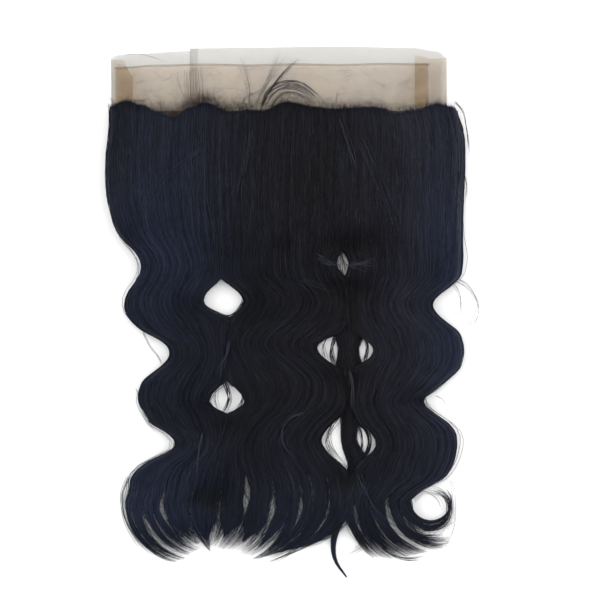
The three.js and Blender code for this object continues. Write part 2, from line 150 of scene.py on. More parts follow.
def catmull(table, t):
    n = len(table) - 1
    ends = np.vstack([2 * table[0] - table[1], table, 2 * table[-1] - table[-2]])
    p = np.clip(np.asarray(t, float), 0, 1) * n
    k = np.minimum(p.astype(int), n - 1)
    f = (p - k)[..., None]
    a, b, c, d = ends[k], ends[k + 1], ends[k + 2], ends[k + 3]
    return hermite(b, c, (c - a) / 2, (d - b) / 2, f)


def ridges(across, wave, seed, count, low, high):  # bundles of strands, as soft ridges that stray sideways
    rng = np.random.default_rng(seed)
    total = 0
    for _ in range(count):
        beat, phase, drift, warp = rng.uniform(low, high), rng.uniform(0, 6.3), rng.uniform(-4, 4), rng.uniform(0, 6.3)
        total = total + np.sin(6.28 * beat * (across + 0.02 * np.sin(7 * wave + warp)) + drift * wave + phase)
    return total / math.sqrt(count)


def place(x, y, z):
    return np.stack(np.broadcast_arrays((x + loopMid) * mm, (y + hairlineY) * mm, z * mm), -1)


def fromPhoto(points):
    return (np.array(points, float) - (photo["middleX"], photo["hairlineY"])) * photo["mmPerPixel"] * (1, -1)


# the hair's flow and its heights, as in the solids
def edgeAt(k, wave):  # one edge, smooth through its rows
    places, values = edgeRows[:, 0], edgeRows[:, k]
    step = np.diff(places)
    slope = np.diff(values) / step
    inner = (slope[:-1] * step[1:] + slope[1:] * step[:-1]) / (step[:-1] + step[1:])
    slopes = np.concatenate([slope[:1], inner, slope[-1:]])
    i = np.clip(np.searchsorted(places, wave) - 1, 0, len(step) - 1)
    f = np.clip((wave - places[i]) / step[i], 0, 1)
    return hermite(values[i], values[i + 1], slopes[i] * step[i], slopes[i + 1] * step[i], f)


def holePush(edge, neighbour, wave, inside):  # a hole's edge pushes the strands beside it, more softly further in
    inside = np.clip(inside, -10, 300)
    stands = [(edgeAt(edge, wave + step) - edgeAt(neighbour, wave + step)) / 2 * hair["half"]
              for step in bend["soften"]]
    exact = stands[len(stands) // 2]
    return lerp(sum(stands) / len(stands), exact, np.exp(-inside / bend["near"])) * np.exp(-inside / bend["reach"])


def flow(name, across, wave, curl):
    column = columns[name]
    first, last = column["edges"]
    left = edgeAt(first, wave) if first == 1 else (edgeAt(first, wave) + edgeAt(first - 1, wave)) / 2
    right = edgeAt(last, wave) if last == 6 else (edgeAt(last, wave) + edgeAt(last + 1, wave)) / 2
    wide = (right - left) * hair["half"]
    x = lerp(left, right, across) * hair["half"]
    if first > 1:
        x = x + holePush(first, first - 1, wave, across * wide)
    if last < 6:
        x = x + holePush(last, last + 1, wave, (1 - across) * wide)
    x = x + column["sway"] * 4 * across * (1 - across) * eased(wave, swayWaves, swaySides)
    places, lengths, turns, starts = zip(*column["curls"])
    length = np.interp(across, places, lengths) * hair["tip"]
    turn, early = np.radians(np.interp(across, places, turns)), np.interp(across, places, starts)
    y = -wave * hair["drop"]
    for k in range(bend["steps"]):  # along the curl, turning as it goes
        heading = turn * (1 - (1 - curl * (k + 0.5) / bend["steps"]) ** early)
        x = x + length * curl * np.sin(heading) / bend["steps"]
        y = y - length * curl * np.cos(heading) / bend["steps"]
    return x, y


def columnWidth(name, wave):
    left, right = (edgeAt(k, wave) for k in columns[name]["edges"])
    return (right - left) * hair["half"]


def backTop(down, curl=0):
    deep = smooth(down, loop["tail"], loop["tail"] + hair["dropLength"])
    return lerp(lerp(hair["slope"] * np.clip(down, 0, loop["tail"]), hair["back"], deep), 0.6, curl)


def backWallFoot(down):
    under = loop["fit"] * np.clip(1 + 4 * down / loop["backRise"], 0, 1)
    return np.where(down > 0, loop["fit"] + hair["slope"] * down, under)


def frontSeat(x, down):
    outside = hair["half"] - loopHalf
    pastEnd = smooth(np.abs(x), loopHalf + 0.25 * outside, loopHalf + 1.3 * outside)
    pastTail = smooth(down, loop["tail"] + 0.15 * hair["dropLength"], loop["tail"] + hair["dropLength"])
    foot = backWallFoot(np.clip(down, -loop["backRise"], loop["tail"])) + loopStack
    return lerp(backTop(down) + loop["fit"], foot, (1 - pastEnd) * (1 - pastTail))


# soft hollow spots where the hair turns under, each at x, y in the photo, with its half sizes in pixels and its depth;
# the same spots also darken the hair's colour as painted shade
hollowsAndShade = {
    "aboveSlit": ((352, 243), (30, 14), 1.0), "leftOfSlit": ((282, 246), (13, 8), 0.55),
    "middleBend": ((312, 262), (18, 8), 0.3),
    "underSlit": ((350, 288), (24, 11), 1.0), "underSlitLong": ((350, 312), (9, 26), 0.9),
    "underLens": ((346, 377), (20, 13), 1.0), "downLock": ((350, 400), (7, 26), 0.5),
    "underDiamond": ((248, 317), (26, 9), 0.6), "besideDiamond": ((257, 300), (11, 18), 0.55),
    "leftOfDiamond": ((192, 308), (14, 12), 0.4), "leftOfDrop": ((204, 408), (16, 10), 0.6),
    "underDrop": ((218, 427), (24, 11), 0.95), "heart": ((210, 497), (26, 18), 1.0),
    "rightOfCrescent": ((346, 478), (22, 15), 1.0), "rightWaist": ((412, 396), (20, 12), 0.5),
    "leftNeck": ((178, 440), (10, 12), 0.4), "underRoots": ((212, 150), (26, 26), 0.3),
    "crown": ((314, 205), (14, 34), 0.4), "edgeLeft": ((174, 352), (12, 14), 0.35),
    "rightEye": ((432, 302), (14, 14), 0.4),
}
# the front hair's surface: mm of rounded edge, of broad and fine ridges and of hollows; straight is how strong the
# locks are above the waves, and joined how much edge is left between two columns that touch
relief = {"straight": 0.75, "edgeRound": 7, "broad": 0.55, "fine": 0.22, "hollow": 3.6, "joined": 0.6}


def innerEdges(name, across, wave):  # 1 where a column still touches its neighbour
    seam = np.where(across < 0.5, columns[name]["edges"][0] - 1, columns[name]["edges"][1])
    inside = (seam > 0) & (seam < 6)
    gap = np.where(seam < 3, edgeAt(3, wave) - edgeAt(2, wave), edgeAt(5, wave) - edgeAt(4, wave)) * hair["half"]
    return inside * (1 - smooth(gap, 0.3, 3)) * lerp(1, relief["joined"], smooth(wave, 0.37, 0.45))


def frontPoint(name, across, wave, curl):  # x, y, top and foot of the front hair
    x, y = flow(name, across, wave, curl)
    y = y + eased(x / hair["half"], hairlineAcross, hairlineHigh) * (1 - smooth(wave, 0, 0.12))
    swell = smooth(-y + hair["rise"], 0, hair["swell"])
    along = list(columns).index(name) + across
    locks = np.tanh(1.3 * ridges(along, wave, 3, 5, 2, 5))
    strong = lerp(relief["straight"], 1.3, smooth(wave, 0.3, 0.5))
    body = lerp(hair["edge"], hair["front"], swell) * (0.84 + 0.13 * strong * locks)
    body = body + relief["broad"] * ridges(along, wave, 4, 9, 7, 16)
    body = body + relief["fine"] * ridges(along, wave, 5, 24, 18, 42)
    inside = np.minimum(across, 1 - across) * columnWidth(name, wave)
    rim = np.sqrt(np.clip(smooth(inside, -1.5, relief["edgeRound"]), 0, 1))
    rim = np.maximum(rim, innerEdges(name, across, wave))
    body = body * (0.3 + 0.7 * rim) - relief["hollow"] * hollowAndShadeAt(x, y) * swell
    high = np.maximum(lerp(body, hair["end"], curl**1.2), 0.5)
    foot = lerp(frontSeat(x, -y), backTop(-y, curl) + loop["fit"] * (1 + 2 * curl), curl)
    return x, y, foot + high, foot


def tipAcross(name, across, wave, curl, grip=1):  # where a strand is once the slits between the tips have opened
    along = wave + 0.35 * curl
    shift = 0
    for at, wide, start, widest, stop, left in columns[name]["slits"]:
        size = wide * (smooth(along, start, widest) - (1 - left) * smooth(along, widest, stop)) / columnWidth(name, 1.0)
        shift = shift + np.where(across < at, -0.5, 0.5) * size * np.exp(-np.abs(across - at) / 0.1)
    return across + grip * shift


def reachAt(name, across):
    stops = [slit[0] for slit in columns[name]["slits"]]
    return np.array(columns[name]["reaches"])[np.searchsorted(stops, across)]


# where the hair is painted bluer and where paler, both as painted sheen, each at x, y in the photo with its half sizes
# in pixels
coolPlaces = {"leftColumn": ((160, 300), (70, 220), 1.0), "rightEdge": ((470, 300), (50, 220), 0.7),
              "tips": ((250, 560), (220, 90), 0.9)}
paleSheenPlaces = {"leftTop": ((165, 190), (60, 110), 0.75), "leftLobe": ((165, 490), (50, 50), 0.8),
              "rightTop": ((440, 180), (60, 120), 1.6), "rightSide": ((440, 360), (50, 130), 1.1),
              "low": ((300, 500), (90, 40), 0.25)}


def spotted(places, x, y):
    total, step = 0, photo["mmPerPixel"]
    for spot, (wide, tall), strength in places.values():
        (cx, cy), = fromPhoto([spot])
        total = total + strength * np.exp(-((x - cx) / (wide * step)) ** 2 - ((y - cy) / (tall * step)) ** 2)
    return total


# how deep the hair dips at each point, 0 to 1, which also sets how much painted shade it gets
def hollowAndShadeAt(x, y):
    return np.clip(spotted(hollowsAndShade, x, y), 0, 1)


# how strong the painted bluish sheen is at each point, a little everywhere
def coolness(x, y):
    return np.clip(0.12 + spotted(coolPlaces, x, y), 0, 1)


# tone factor: painted sheen from the pale places, dimmed by painted shade in the hollow spots
def paintedSheenAndShade(x, y):
    return (0.55 + spotted(paleSheenPlaces, x, y)) * (1 - 0.95 * hollowAndShadeAt(x, y))


# building blocks: a unit grid or block whose points are then moved, and strands swept along curves
def selectOnly(piece):
    bpy.ops.object.select_all(action="DESELECT")
    piece.select_set(True)
    bpy.context.view_layer.objects.active = piece


def addGrid(name, across, along, isBlock=False):
    bpy.ops.object.select_all(action="DESELECT")
    bpy.ops.mesh.primitive_grid_add(x_subdivisions=across, y_subdivisions=along, size=1)
    piece = bpy.context.object
    piece.name = piece.data.name = name
    if isBlock:
        bpy.ops.object.mode_set(mode="EDIT")
        bpy.ops.mesh.select_all(action="SELECT")
        bpy.ops.mesh.extrude_region_move(TRANSFORM_OT_translate={"value": (0, 0, 1)})
        bpy.ops.mesh.select_all(action="SELECT")
        bpy.ops.mesh.normals_make_consistent(inside=False)
        bpy.ops.object.mode_set(mode="OBJECT")
    bpy.ops.object.shade_smooth()
    spots = np.empty(len(piece.data.vertices) * 3)
    piece.data.vertices.foreach_get("co", spots)
    u, v, t = spots.reshape(-1, 3).T
    return piece, u + 0.5, 0.5 - v, t


def setPoints(piece, points, **attributes):
    piece.data.vertices.foreach_set("co", np.asarray(points, np.float32).ravel())
    for key, values in attributes.items():
        values = np.broadcast_to(values, len(piece.data.vertices)).astype(np.float32)
        piece.data.attributes.new(key, "FLOAT", "POINT").data.foreach_set("value", values)
    piece.data.update()


def setUv(piece, u, v):
    corners = np.empty(len(piece.data.loops), int)
    piece.data.loops.foreach_get("vertex_index", corners)
    piece.data.uv_layers[0].data.foreach_set("uv", np.stack([u, v], -1)[corners].astype(np.float32).ravel())


def strandProfile():  # the three-sided section of every strand, 1 mm from its middle to its corners
    curve = bpy.data.curves.new("strandProfile", "CURVE")
    spline = curve.splines.new("POLY")
    spline.points.add(2)
    for k, point in enumerate(spline.points):
        angle = math.pi / 2 + k * math.tau / 3
        point.co = (math.cos(angle) * mm, math.sin(angle) * mm, 0, 1)
    spline.use_cyclic_u = True
    profile = bpy.data.objects.new("strandProfile", curve)
    bpy.context.collection.objects.link(profile)
    return profile


profile = strandProfile()


def addStrands(name, paths, thick, tone, material):  # paths in metres, strands x points x 3; thick in mm
    count, points = paths.shape[:2]
    curve = bpy.data.curves.new(name, "CURVE")
    curve.dimensions = "3D"
    curve.bevel_mode = "OBJECT"
    curve.bevel_object = profile
    spots = np.concatenate([paths, np.ones((count, points, 1))], -1).astype(np.float32)
    radii = np.broadcast_to(thick, (count, points)).astype(np.float32)
    for k in range(count):
        spline = curve.splines.new("POLY")
        spline.points.add(points - 1)
        spline.points.foreach_set("co", spots[k].ravel())
        spline.points.foreach_set("radius", np.ascontiguousarray(radii[k]))
    piece = bpy.data.objects.new(name, curve)
    bpy.context.collection.objects.link(piece)
    selectOnly(piece)
    bpy.ops.object.convert(target="MESH")
    piece = bpy.context.object
    bpy.ops.object.mode_set(mode="EDIT")
    bpy.ops.mesh.select_all(action="SELECT")
    bpy.ops.mesh.fill_holes(sides=3)
    bpy.ops.object.mode_set(mode="OBJECT")
    tone = np.broadcast_to(np.asarray(tone).reshape(count, -1), (count, points))
    x, y = paths[..., 0] / mm - loopMid, paths[..., 1] / mm - hairlineY
    hue = np.random.default_rng(count).normal(0, 0.13, (count, 1))
    for key, values in {"tone": tone, "cool": np.clip(coolness(x, y) + hue, 0, 1)}.items():
        attribute = piece.data.attributes.new(key, "FLOAT", "POINT")
        attribute.data.foreach_set("value", np.repeat(values.ravel(), 3).astype(np.float32))
    piece.data.materials.clear()
    piece.data.materials.append(material)
    bpy.ops.object.shade_smooth()
    return piece


# materials
def toLinear(code):
    channels = [int(code[i:i + 2], 16) / 255 for i in (1, 3, 5)]
    return [c / 12.92 if c <= 0.04045 else ((c + 0.055) / 1.055) ** 2.4 for c in channels] + [1]


def addNode(tree, kind, inputs=None, **settings):
    node = tree.nodes.new("ShaderNode" + kind)
    for key, value in settings.items():
        setattr(node, key, value)
    for key, value in (inputs or {}).items():
        if isinstance(value, bpy.types.NodeSocket):
            tree.links.new(value, node.inputs[key])
        else:
            node.inputs[key].default_value = value
    return node


def newMaterial(name, sockets):
    material = bpy.data.materials.new(name)
    material.use_nodes = True
    shader = material.node_tree.nodes["Principled BSDF"]
    for key, value in sockets.items():
        shader.inputs[key].default_value = value
    return material, material.node_tree, shader


# human hair dyed natural black and steam-set: nearly black, with a low satin sheen and some browner strands; the cool
# pair of colours is a painted bluish sheen
hairLook = {"dark": "#070709", "light": "#26252E", "darkCool": "#090C14", "lightCool": "#293149",
            "roughness": 0.45, "specular": 0.14, "streakWide": 0.45, "streakLong": 0.012}


def hairMaterial(name, isStrand, look=hairLook):
    material, tree, shader = newMaterial(name, {"Roughness": hairLook["roughness"],
                                                "Specular IOR Level": hairLook["specular"], "IOR": 1.55})
    where = addNode(tree, "TexCoord")
    tone = addNode(tree, "Attribute", attribute_name="tone").outputs["Fac"]
    if not isStrand:
        stretch = addNode(tree, "Mapping", {"Vector": where.outputs["UV"],
                                                      "Scale": (hairLook["streakWide"] * 5, hairLook["streakLong"], 1)})
        streaks = addNode(tree, "TexNoise", {"Vector": stretch.outputs[0], "Scale": 1, "Detail": 3}).outputs[0]
        tone = addNode(tree, "Math", {0: tone, 1: streaks}, operation="MULTIPLY").outputs[0]
        bump = addNode(tree, "Bump", {"Height": streaks, "Strength": 0.8, "Distance": 0.0004})
        tree.links.new(bump.outputs[0], shader.inputs["Normal"])
    patches = addNode(tree, "TexNoise", {"Vector": where.outputs["Object"], "Scale": 18, "Detail": 3})
    # the cool colours mix in as a painted bluish sheen
    cool = addNode(tree, "Attribute", attribute_name="cool").outputs["Fac"]
    tone = addNode(tree, "Math", {0: tone, 1: patches.outputs[0]}, operation="MULTIPLY").outputs[0]
    tone = addNode(tree, "Math", {0: tone, 1: 2.0}, operation="MULTIPLY", use_clamp=True).outputs[0]
    pair = [addNode(tree, "Mix", {0: tone, 6: toLinear(look["dark" + kind]),
                                            7: toLinear(look["light" + kind])}, data_type="RGBA").outputs[2]
            for kind in ("", "Cool")]
    colour = addNode(tree, "Mix", {0: cool, 6: pair[0], 7: pair[1]}, data_type="RGBA")
    tree.links.new(colour.outputs[2], shader.inputs["Base Color"])
    return material


strandMaterial = hairMaterial("dyedHairStrands", True)
bodyMaterial = hairMaterial("dyedHairMass", False)
# a lighter copy of the strand colours, as painted highlights
glintMaterial = hairMaterial("dyedHairPaintedGlints", True, {**hairLook, "light": "#36363E", "lightCool": "#353D52"})

shown = {}


def finish(piece, node=None, material=None):
    if material:
        piece.data.materials.clear()
        piece.data.materials.append(material)
    if node:
        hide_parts(node)
    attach(piece, "root")
    shown[piece.name] = piece
    return piece


def shapeMass(piece, node, x, y, low, top, t, tone, wide):  # wide is each point's place across the streaks, in mm
    setPoints(piece, place(x, y, lerp(low, top, t)), tone=tone, cool=coolness(x, y))
    setUv(piece, wide, -y)
    return finish(piece, node, material=bodyMaterial)


# front hair: a ridged mass under each column, the locks of its tips, and strands over them
# the masses under the strands are drawn darker than the strands: painted shade in the gaps between them
frontHair = {"inset": 1.2, "sunk": 1.1, "across": 72, "along": 96, "endWave": 0.94, "gapShadedMassTone": 0.66,
             "outward": 5.0, "lean": 0.12, "perColumn": 605, "thick": 0.2, "gathers": 15, "straying": 0.011,
             "deep": 1.2, "loose": 0.07, "tipAcross": 9, "tipAlong": 26}
waveRings = np.concatenate([(0, 0.015, 0.04, 0.09, 0.15, 0.21, 0.27, 0.32), np.linspace(0.36, 1, 33)])
curlRings = np.linspace(0, 1, 12)[1:]


def frontMass(name):
    piece, a, v, t = addGrid("hairMass_" + name, frontHair["across"], frontHair["along"], True)
    wave = lerp(0.004, frontHair["endWave"] + 0.012 * np.sin(40 * a), v)
    inset = lerp(frontHair["inset"], -0.4, innerEdges(name, a, wave)) / columnWidth(name, wave)
    x, y, top, foot = frontPoint(name, lerp(inset, 1 - inset, a), wave, 0 * wave)
    top = np.maximum(top - frontHair["sunk"], foot + 0.3)
    tone = frontHair["gapShadedMassTone"] * paintedSheenAndShade(x, y)
    return shapeMass(piece, "hair_" + name, x, y, foot, top, t, tone, a * columnWidth(name, wave))


def tipLocks(name, isBack):  # the flat tapering ends of the column, one lock between each two slits
    stops = [0] + [slit[0] for slit in columns[name]["slits"]] + [1]
    for k, (start, stop) in enumerate(zip(stops[:-1], stops[1:])):
        piece, a, v, t = addGrid(f"hairTip{'Back' if isBack else ''}_{name}_{k + 1}",
                                 frontHair["tipAcross"], frontHair["tipAlong"], True)
        wave = np.minimum(1, 0.9 + 0.4 * v)
        curl = np.clip((v - 0.25) / 0.75, 0, 1) * columns[name]["reaches"][k] * 0.8
        inset = min(0.25 * (stop - start), frontHair["inset"] / columnWidth(name, 1.0))
        across = lerp(start + inset, stop - inset, a)
        across = tipAcross(name, across, wave, curl)
        middle = tipAcross(name, np.full_like(a, (start + stop) / 2), wave, curl)
        across = lerp(across, middle, 0.92 * smooth(v, 0.6, 1.02))
        if isBack:
            x, y = flow(name, across, wave, curl)
            top, foot = np.maximum(backTop(-y, curl) - 0.6, 0.7), 0.3
        else:
            x, y, top, foot = frontPoint(name, across, wave, curl)
            top = np.maximum(top - frontHair["sunk"], foot + 0.3)
        node = "hair_back" if isBack else "hair_" + name
        tone = frontHair["gapShadedMassTone"] * paintedSheenAndShade(x, y)
        shapeMass(piece, node, x, y, foot, top, t, tone, a * (stop - start) * columnWidth(name, wave))


def strandTracks(name, count, seed):  # across, wave and curl of every strand at every ring
    rng = np.random.default_rng(seed)
    wave = np.concatenate([waveRings, np.ones(len(curlRings))])[None] * np.ones((count, 1))
    spacing = np.gradient(wave[0]) * smooth(wave[0], 0, 0.05) * (1 - smooth(wave[0], 0.97, 0.999))
    wave = wave + spacing * rng.uniform(-0.5, 0.5, (count, 1))  # so that no two strands bend at the same places
    curl = np.concatenate([np.zeros(len(waveRings)), curlRings])[None] * np.ones((count, 1))
    along = wave + 0.35 * curl
    start = -0.02 + 1.04 * (np.arange(count) + rng.random(count)) / count
    rng.shuffle(start)
    start = start[:, None]
    gathers = (np.arange(frontHair["gathers"]) + rng.uniform(0.2, 0.8, frontHair["gathers"])) / frontHair["gathers"]
    nearest = gathers[np.abs(start - gathers[None]).argmin(1)][:, None]
    across = lerp(start, nearest, (0.12 + 0.22 * smooth(along, 0.3, 1)) * rng.uniform(0.4, 1.2, (count, 1)))
    size = np.where(rng.random((count, 1)) < 0.06, 3.5, 1) * frontHair["straying"]
    for beat, share in ((0.6, 2.2), (1.3, 1.0), (3.1, 0.6), (6.7, 0.25)):
        beat = beat * rng.uniform(0.7, 1.3, (count, 1))
        across = across + size * share * np.sin(6.28 * (beat * along + rng.random((count, 1))))
    lean = frontHair["lean"] * (rng.random((count, 1)) < 0.4) * np.where(np.array(name) == "middle", -0.4, 1)
    across = across + lean * rng.random((count, 1)) * np.sin(np.pi * np.clip(start, 0, 1)) * smooth(wave, 0, 0.3)
    loose = rng.random((count, 1)) < frontHair["loose"]
    outward = loose * np.clip(np.sin(6.28 * (1.9 * along + rng.random((count, 1)))), 0, 1) * smooth(along, 0.3, 0.4)
    outward = frontHair["outward"] * outward * rng.random((count, 1)) / columnWidth(name, np.minimum(along, 1))
    kept = np.clip(across, 0.004, 0.996)
    kept = kept + np.where(kept < 0.08, -outward, 0) + np.where(kept > 0.92, outward, 0)
    across = lerp(kept, across, innerEdges(name, across, wave))
    grip = np.where(rng.random((count, 1)) < 0.08, 0.2, rng.uniform(0.8, 1.05, (count, 1)))
    reach = reachAt(name, across[:, len(waveRings) - 1:len(waveRings)]) * (1.04 - 0.34 * rng.random((count, 1)) ** 3)
    across = tipAcross(name, across, wave, curl * reach, grip)
    return across, wave, curl * reach, rng


def strandThickness(base, count, points, rng):
    taper = np.clip(1.2 * (1 - np.linspace(0, 1, points) ** 10), 0.14, 1)
    taper[0] = 0.4
    return base * rng.uniform(0.75, 1.2, (count, 1)) * taper[None]


def strandTone(x, y, count, rng):
    tone = 0.33 + 0.26 * rng.random((count, 1))
    tone = np.where(rng.random((count, 1)) < 0.02, 0.9, tone)
    t = np.linspace(0, 1, x.shape[1])[None]
    # each strand's tone comes and goes along it, as painted highlights that break
    for beat, share in ((5, 0.35), (13, 0.3)):  # each strand comes and goes
        turns = beat * t * rng.uniform(0.6, 1.4, (count, 1)) + rng.random((count, 1))
        tone = tone * (1 + share * np.sin(6.28 * turns))
    return tone * paintedSheenAndShade(x, y)


def coverStrands(name, node, x, y, z, base, rng):  # strands through these points, each with its own taper and tone
    count, points = x.shape
    thick = strandThickness(base, count, points, rng)
    return finish(addStrands(name, place(x, y, z), thick, strandTone(x, y, count, rng), strandMaterial), node)


def frontStrands(name, seed):
    count = frontHair["perColumn"]
    across, wave, curl, rng = strandTracks(name, count, seed)
    x, y, top, foot = frontPoint(name, across, wave, curl)
    root = np.where(rng.random((count, 1)) < 0.3, 3.0, 1.0) * rng.random((count, 1)) ** 2 - 0.4
    y = y + root * (1 - smooth(wave, 0, 0.03))
    sink = frontHair["deep"] * rng.random((count, 1)) ** 1.5
    edge = np.minimum(across, 1 - across)
    side = np.where(edge < 0.03, 0.9 * rng.random((count, 1)), 0) * (1 - innerEdges(name, across, wave))
    z = np.maximum(lerp(top - sink, foot + 0.3, side), foot + 0.2) + 0.2 * rng.standard_normal((count, 1))
    return coverStrands("hairStrands_" + name, "hair_" + name, x, y, np.maximum(z, 0.3), frontHair["thick"], rng)


for seed, name in enumerate(columns):
    frontMass(name)
    tipLocks(name, False)
    frontStrands(name, 11 + seed)
print("front hair done")

# back hair: flat on the table, in the same columns
backHair = {"inset": 1.0, "tone": 0.5, "across": 40, "along": 70, "perColumn": 58, "thick": 0.22, "start": 5}


def backPoint(name, across, wave, curl):
    x, y = flow(name, across, wave, curl)
    y = y - backHair["start"] * (1 - smooth(wave, 0, 0.12))
    return x, y, backTop(-y, curl)


def backMass(name, seed):
    piece, a, v, t = addGrid("hairBackMass_" + name, backHair["across"], backHair["along"], True)
    wave = v * (frontHair["endWave"] - 0.004)
    inset = lerp(backHair["inset"], 0.1, innerEdges(name, a, wave)) / columnWidth(name, wave)
    x, y, high = backPoint(name, lerp(inset, 1 - inset, a), wave, 0 * wave)
    ripple = ridges(a, wave, seed, 16, 6, 18)
    low = np.maximum(0.3 + 0.2 * ripple, 0.02)
    top = np.maximum(high - 0.5 + 0.2 * ripple, low + 0.15)
    return shapeMass(piece, "hair_back", x, y, low, top, t, backHair["tone"], a * columnWidth(name, wave))


def backStrands(name, seed):
    count = backHair["perColumn"]
    across, wave, curl, rng = strandTracks(name, count, seed)
    rim = 0.1 * np.where(across < 0.5, across, 1 - across)
    across = np.where(rng.random((count, 1)) < 0.5, across, np.where(across < 0.5, rim, 1 - rim))
    x, y, high = backPoint(name, across, wave, curl * 0.92)
    z = high * rng.random((count, 1)) * 0.9 + 0.25
    return coverStrands("hairBackStrands_" + name, "hair_back", x, y, z, backHair["thick"], rng)


for seed, name in enumerate(columns):
    backMass(name, 50 + seed)
    tipLocks(name, True)
    backStrands(name, 31 + seed)

# the narrow lock between the middle and right columns, and the thin tail that it ends in:
# down as a share of the tail's drop, place and width as shares of the half width
tailRows = np.array([
    (0.377, 0.380, 0.080), (0.468, 0.388, 0.170), (0.519, 0.381, 0.112), (0.570, 0.386, 0.160),
    (0.620, 0.388, 0.120), (0.669, 0.388, 0.095), (0.716, 0.388, 0.085), (0.763, 0.436, 0.110),
    (0.810, 0.402, 0.110), (0.870, 0.340, 0.055), (0.922, 0.300, 0.030), (0.964, 0.310, 0.017),
    (1.000, 0.372, 0.007),
])
tailLock = {"strands": 150, "points": 44, "thick": 0.2, "across": 12, "along": 70, "inset": 0.96}


def tailPoint(t, s):  # t down the lock, s from one edge at -1 to the other at 1
    row = catmull(tailRows, t)
    x, y = row[..., 1] * hair["half"], -row[..., 0] * hair["tailDrop"]
    ahead = catmull(tailRows, np.clip(t + 0.004, 0, 1)) - catmull(tailRows, np.clip(t - 0.004, 0, 1))
    step = np.stack([ahead[..., 1] * hair["half"], -ahead[..., 0] * hair["tailDrop"]], -1)
    step /= np.linalg.norm(step, axis=-1, keepdims=True)
    half = row[..., 2] * hair["half"] / 2 * s
    tall = lerp(hair["back"], hair["end"], smooth(-y, hair["drop"], hair["tailDrop"]))
    return x - step[..., 1] * half, y + step[..., 0] * half, tall


def tailMass():
    piece, a, v, t = addGrid("hairTailMass", tailLock["across"], tailLock["along"], True)
    s = (2 * a - 1) * tailLock["inset"]
    x, y, tall = tailPoint(v, -s)
    top = 0.4 + np.maximum(tall * (0.85 - 0.6 * s**2) - 0.5, 0.2)
    return shapeMass(piece, "hair_back", x, y, 0.3, top, t, backHair["tone"], 20 * a)


def tailStrands():
    rng = np.random.default_rng(77)
    count = tailLock["strands"]
    t = np.linspace(0, 1, tailLock["points"])[None] * np.ones((count, 1))
    s = rng.uniform(-0.95, 0.95, (count, 1)) + 0 * t
    for beat, share in ((1.5, 0.16), (3.3, 0.08)):
        s = s + share * np.sin(6.28 * (beat * t * rng.uniform(0.7, 1.3, (count, 1)) + rng.random((count, 1))))
    s = np.clip(s, -1.05, 1.05)
    x, y, tall = tailPoint(t, s)
    z = 0.4 + tall * rng.random((count, 1)) ** 0.5 * (1 - 0.5 * s**2)
    return coverStrands("hairTailStrands", "hair_back", x, y, z, tailLock["thick"], rng)


tailMass()
tailStrands()
print("back hair done")

